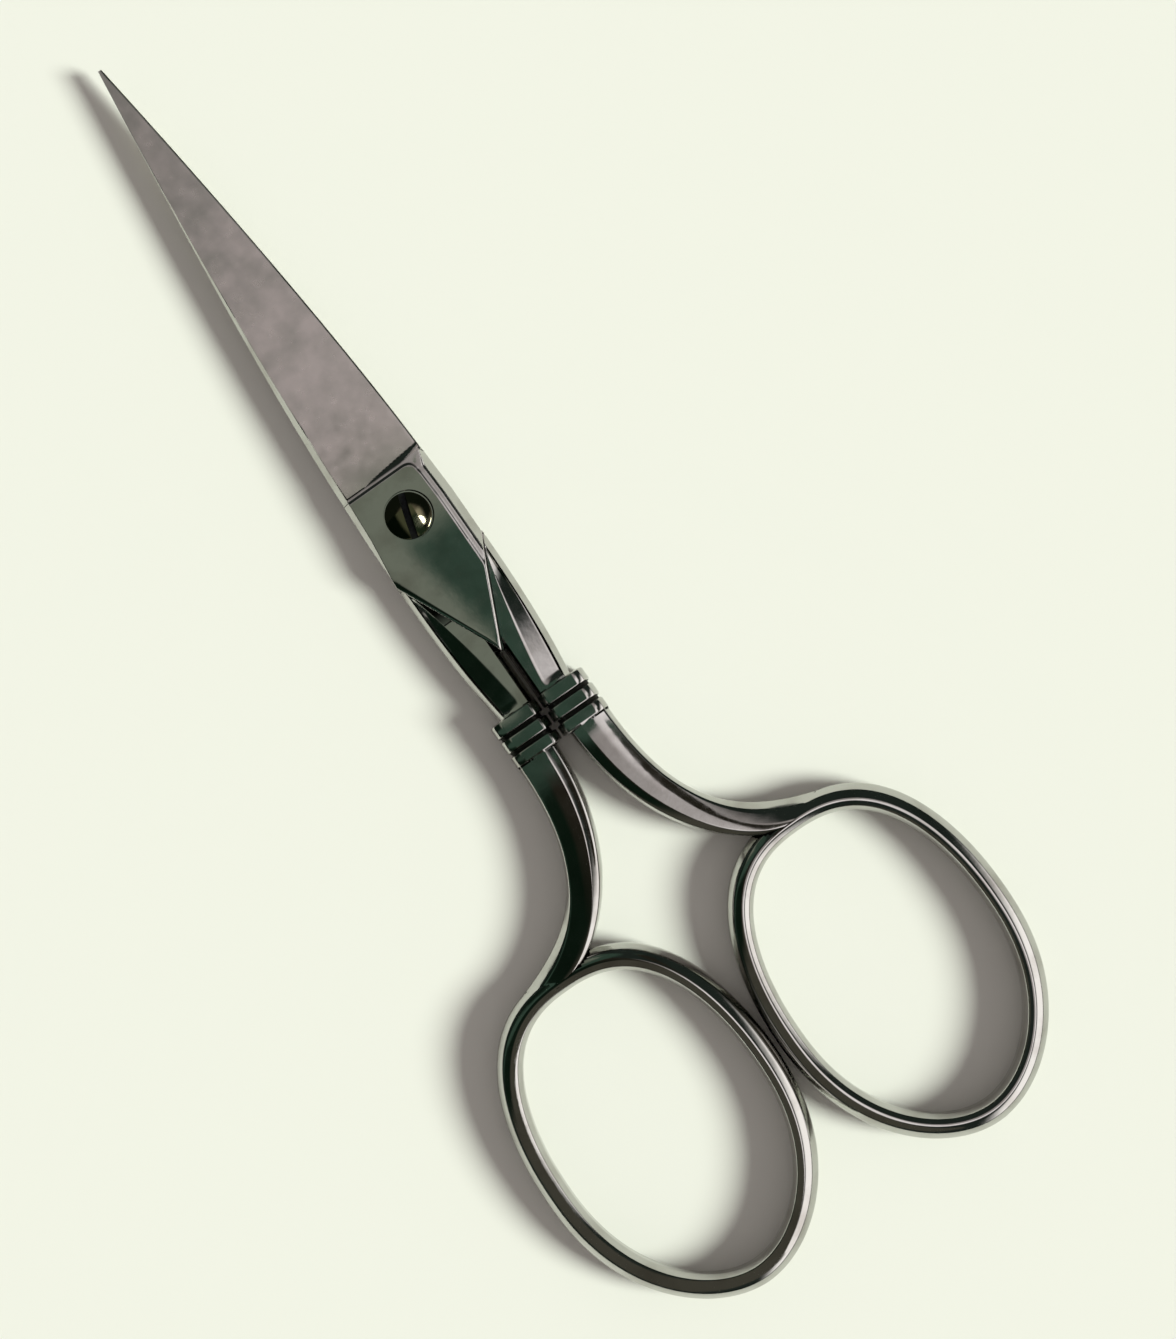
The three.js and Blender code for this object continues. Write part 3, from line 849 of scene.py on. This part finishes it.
def metal(name, clean, worn, darkening, gloss, grain_stretch, grain_depth):
    """A worn metal. Darkening is a rise and a span: the colour darkens where soft patches, raised by so
    much for each metre toward the tips, pass the span. Ridges lighten, as worn plating and painted
    highlight, and sharp hollows darken, as soiling and painted shade. Smudges vary the gloss, and
    grain, dents and a slow ripple stand in the surface."""
    paint = bpy.data.materials.new(name)
    paint.use_nodes = True
    tree = paint.node_tree
    shader = tree.nodes["Principled BSDF"]
    shader.inputs["Metallic"].default_value = 1.0
    place = tree.nodes.new("ShaderNodeTexCoord").outputs["Object"]
    patches = noise(tree, place, unstretched, *patch_noise)
    smudges = noise(tree, place, unstretched, *smudge_noise)
    grain = noise(tree, place, grain_stretch, *grain_noise)
    along = node(tree, "ShaderNodeSeparateXYZ", (0, place)).outputs["Y"]
    toward_tip, span = darkening
    darker_share = node(tree, "ShaderNodeMath", (0, along), (1, toward_tip), (2, patches))
    darker_share.operation = "MULTIPLY_ADD"
    colour = mixed(tree, ranged(tree, darker_share.outputs[0], span, (0, 1)), clean, worn)
    ridge = tree.nodes.new("ShaderNodeAttribute")
    ridge.attribute_name = "ridge"
    uneven = ranged(tree, smudges, rubbed_highlight_smudges, rubbed_highlight_share)
    rub_highlight = node(tree, "ShaderNodeMath", (0, ridge.outputs["Fac"]), (1, uneven))
    rub_highlight.operation = "MULTIPLY"
    rubbed_highlight = rub_highlight.outputs[0]
    hollow = tree.nodes.new("ShaderNodeAttribute")
    hollow.attribute_name = "hollow"
    shaded_hollow = hollow.outputs["Fac"]
    # Crests are lightened as worn plating and painted highlight.
    colour = mixed(tree, rubbed_highlight, colour, rubbed_highlight_colour)
    # Sharp hollows are darkened as soiling and painted shade.
    tree.links.new(mixed(tree, shaded_hollow, colour, hollow_shade_and_dirt), shader.inputs["Base Color"])
    roughness = ranged(tree, smudges, gloss_smudges, gloss)
    for share, value in ((rubbed_highlight, rubbed_roughness), (shaded_hollow, hollow_roughness)):
        roughness = ranged(tree, share, (0, 1), (roughness, value))
    tree.links.new(roughness, shader.inputs["Roughness"])
    lines = node(tree, "ShaderNodeBump", Distance=grain_depth, Height=grain)
    dents = node(tree, "ShaderNodeBump", Distance=dent_depth, Height=smudges, Normal=lines.outputs[0])
    ripple = node(tree, "ShaderNodeBump", Distance=ripple_depth, Height=patches, Normal=dents.outputs[0])
    tree.links.new(ripple.outputs[0], shader.inputs["Normal"])
    return paint


def finishes(half):
    """The two finishes of one half: polished nickel plate and satin-ground steel."""
    plated = metal(
        half + "_nickel", nickel_clean, nickel_worn, even_dulling,
        nickel_gloss, nickel_grain, nickel_grain_depth,
    )
    ground = metal(
        half + "_ground", ground_clean, ground_darker, tip_darkening,
        ground_gloss, ground_grain, ground_grain_depth,
    )
    return plated, ground


upper = forging("upper_scissor_half")
recess_floor = plate_height(0) - recess_depth
recess_top = plate_height(0) - recess_break
recess = lathe("recess", [
    (recess_radius, recess_floor),
    (recess_radius, recess_top),
    (recess_radius + recess_flare, recess_top + recess_flare),
], round_sides)
lower = bare_object("lower_scissor_half", upper.data.copy())
carve(upper, recess, "DIFFERENCE")
finish_half(upper, False, "upper_half", finishes("upper"))
finish_half(lower, True, "lower_half", finishes("lower"))


# Pivot screw: a turned brass screw with a domed, slotted head, darkened with age. It passes the
# upper half's bore and threads into the lower half, and its end stands on the resting plane. The
# narrow lamp lights it alone.
head_radius = 2.25
head_seat = 0.03
head_rim = 0.2
head_dome = 0.48
head_break = 0.07
shank_radius = 1.6
shank_chamfer = 0.2
end_middle = 0.02
slot_width = 0.7
slot_depth = 0.6
slot_lean = math.radians(17)
slot_section = [(-0.5, 0), (-0.46, -1), (0.46, -1), (0.5, 0), (0.62, 0.3), (-0.62, 0.3)]
slot_stations = 9
dome_steps = 29
break_steps = 6
screw_brown = (0.165, 0.156, 0.092, 1)
screw_dark = (0.112, 0.106, 0.066, 1)
screw_gloss = (0.04, 0.13)
screw_grain_depth = 0.0008 * mm
# The slot is filled with near-black colour: soiling, and painted shade where the slot is deep.
shaded_grime = (0.002, 0.003, 0.002, 1)
shaded_grime_dust = (0.007, 0.007, 0.005, 1)
shaded_grime_noise = (3000, 3)
shaded_grime_span = (0.3, 0.7)
shaded_grime_roughness = (0.5, 0.9)
shaded_grime_sheen = 0.1
shaded_grime_half_width = 0.49
shaded_grime_below_dome = 0.05
shaded_grime_reach = 1.05


def screw_profile():
    """Chamfered end, shank, underside of the head, and a rim under a dome whose height falls
    with the square of the radius."""
    base = half_height + recess_floor + head_seat
    share = np.linspace(0, 1, dome_steps + 1)[1:-1]
    turned = head_break * np.sin(np.linspace(0, math.pi / 2, break_steps))
    top = head_radius - head_break
    rim = [(top + cut, base + head_rim - head_break + rise) for cut, rise in zip(turned[::-1], turned)]
    dome = [(top * (1 - s), base + head_rim + head_dome * (1 - (1 - s) ** 2)) for s in share]
    return [
        (end_middle, 0),
        (shank_radius - shank_chamfer, 0),
        (shank_radius, shank_chamfer),
        (shank_radius, base),
        (top, base),
        (head_radius, base + head_break),
        *rim,
        *dome,
    ]


screw = lathe("pivot_screw_turned", screw_profile(), round_sides)
slot_top = half_height + recess_floor + head_seat + head_rim + head_dome
slot_y = np.linspace(-2 * head_radius, 2 * head_radius, slot_stations)[:, None]
slot_across, slot_up = np.array(slot_section).T
slot_x = slot_across * slot_width + 0 * slot_y
slot_z = slot_top + slot_up * slot_depth + 0 * slot_y
slot_rows = np.stack([slot_x, slot_y + 0 * slot_x, slot_z], axis=-1)
cos_lean, sin_lean = math.cos(slot_lean), math.sin(slot_lean)
lean = np.array([[cos_lean, -sin_lean, 0], [sin_lean, cos_lean, 0], [0, 0, 1]])
carve(screw, skin("slot", slot_rows @ lean), "DIFFERENCE")
screw.data.materials.clear()
screw.data.materials.append(metal(
    "darkened_brass", screw_brown, screw_dark, even_dulling,
    screw_gloss, unstretched, screw_grain_depth,
))
# The slot's faces get a near-black finish, partly soiling and partly painted shade of the deep slot.
shaded_grime_paint = bpy.data.materials.new("slot_shade_and_grime")
shaded_grime_paint.use_nodes = True
tree = shaded_grime_paint.node_tree
place = tree.nodes.new("ShaderNodeTexCoord").outputs["Object"]
slot_speckle = noise(tree, place, unstretched, *shaded_grime_noise)
shaded_grime_shader = tree.nodes["Principled BSDF"]
shaded_grime_shader.inputs["Specular IOR Level"].default_value = shaded_grime_sheen
tree.links.new(mixed(tree, slot_speckle, shaded_grime, shaded_grime_dust), shaded_grime_shader.inputs["Base Color"])
tree.links.new(ranged(tree, slot_speckle, shaded_grime_span, shaded_grime_roughness), shaded_grime_shader.inputs["Roughness"])
screw.data.materials.append(shaded_grime_paint)
faces = screw.data.polygons
centre = np.zeros(3 * len(faces))
faces.foreach_get("center", centre)
x, y, z = centre.reshape(-1, 3).T / mm
off_middle = np.abs(x * cos_lean - y * sin_lean)
dome_height = slot_top - head_dome * (x * x + y * y) / head_radius ** 2
in_slot = (
    (off_middle < shaded_grime_half_width * slot_width)
    & (z < dome_height - shaded_grime_below_dome)
    & (z > slot_top - shaded_grime_reach * slot_depth)
)
faces.foreach_set("material_index", in_slot.astype(np.int32))
faces.foreach_set("use_smooth", np.ones(len(faces), bool))
screw.data.set_sharp_from_angle(angle=sharp_angle)
gleam = bpy.data.collections.new("gleam_on_the_screw")
gleam.objects.link(screw)
glint.light_linking.receiver_collection = gleam
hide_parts("pivot_screw")
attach(screw, "lower_half")


bpy.context.scene.view_settings.view_transform = "Standard"
